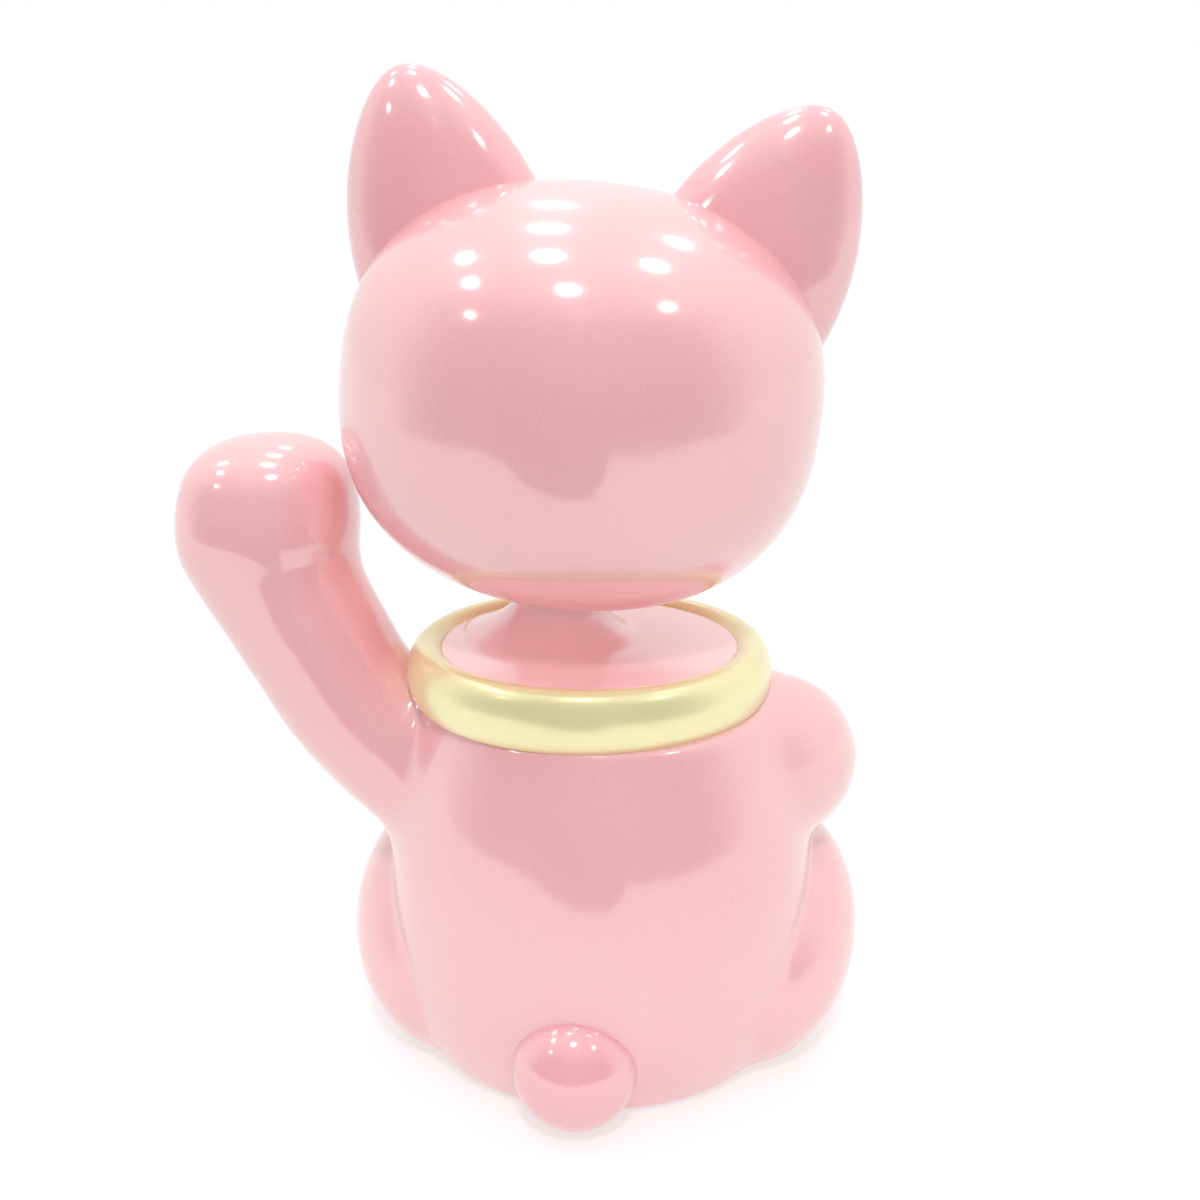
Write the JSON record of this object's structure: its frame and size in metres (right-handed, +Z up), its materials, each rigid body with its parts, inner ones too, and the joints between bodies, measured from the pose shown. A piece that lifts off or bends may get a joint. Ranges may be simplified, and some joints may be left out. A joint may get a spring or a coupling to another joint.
{
  "type": "beckoning cat figurine",
  "caption": "Seated hollow vinyl cat with a raised paw, a turning head with plug-in ears, a collar ring with a bell and a ball tail.",
  "frame": {"origin": "middle of the flat base, on the axis of the collar", "axes": "+Z up, -Y the way the cat faces, +X towards the cat's own left, where the raised paw is"},
  "size_m": [0.2048, 0.1598, 0.2872],
  "materials": {
    "vinyl_body": "glossy lacquered pink vinyl",
    "vinyl_head": "glossy lacquered pink vinyl",
    "vinyl_ear": "glossy lacquered pink vinyl",
    "vinyl_tail": "glossy lacquered pink vinyl",
    "gold_collar": "satin gold lacquer over vinyl",
    "gold_bell": "satin gold lacquer over vinyl"
  },
  "bodies": {
    "body": {"body_shell": "vinyl_body", "collar": "gold_collar", "bell": "gold_bell", "tail": "vinyl_tail"},
    "head": {"head_shell": "vinyl_head", "left_ear": "vinyl_ear", "right_ear": "vinyl_ear"}
  },
  "joints": [
    {"name": "head_swivel", "type": "hinge", "parent": "body", "child": "head", "pos_m": [0.00865, -0.008, 0.13817], "axis": [-0.0958, 0, 0.9954], "continuous": true}
  ]
}
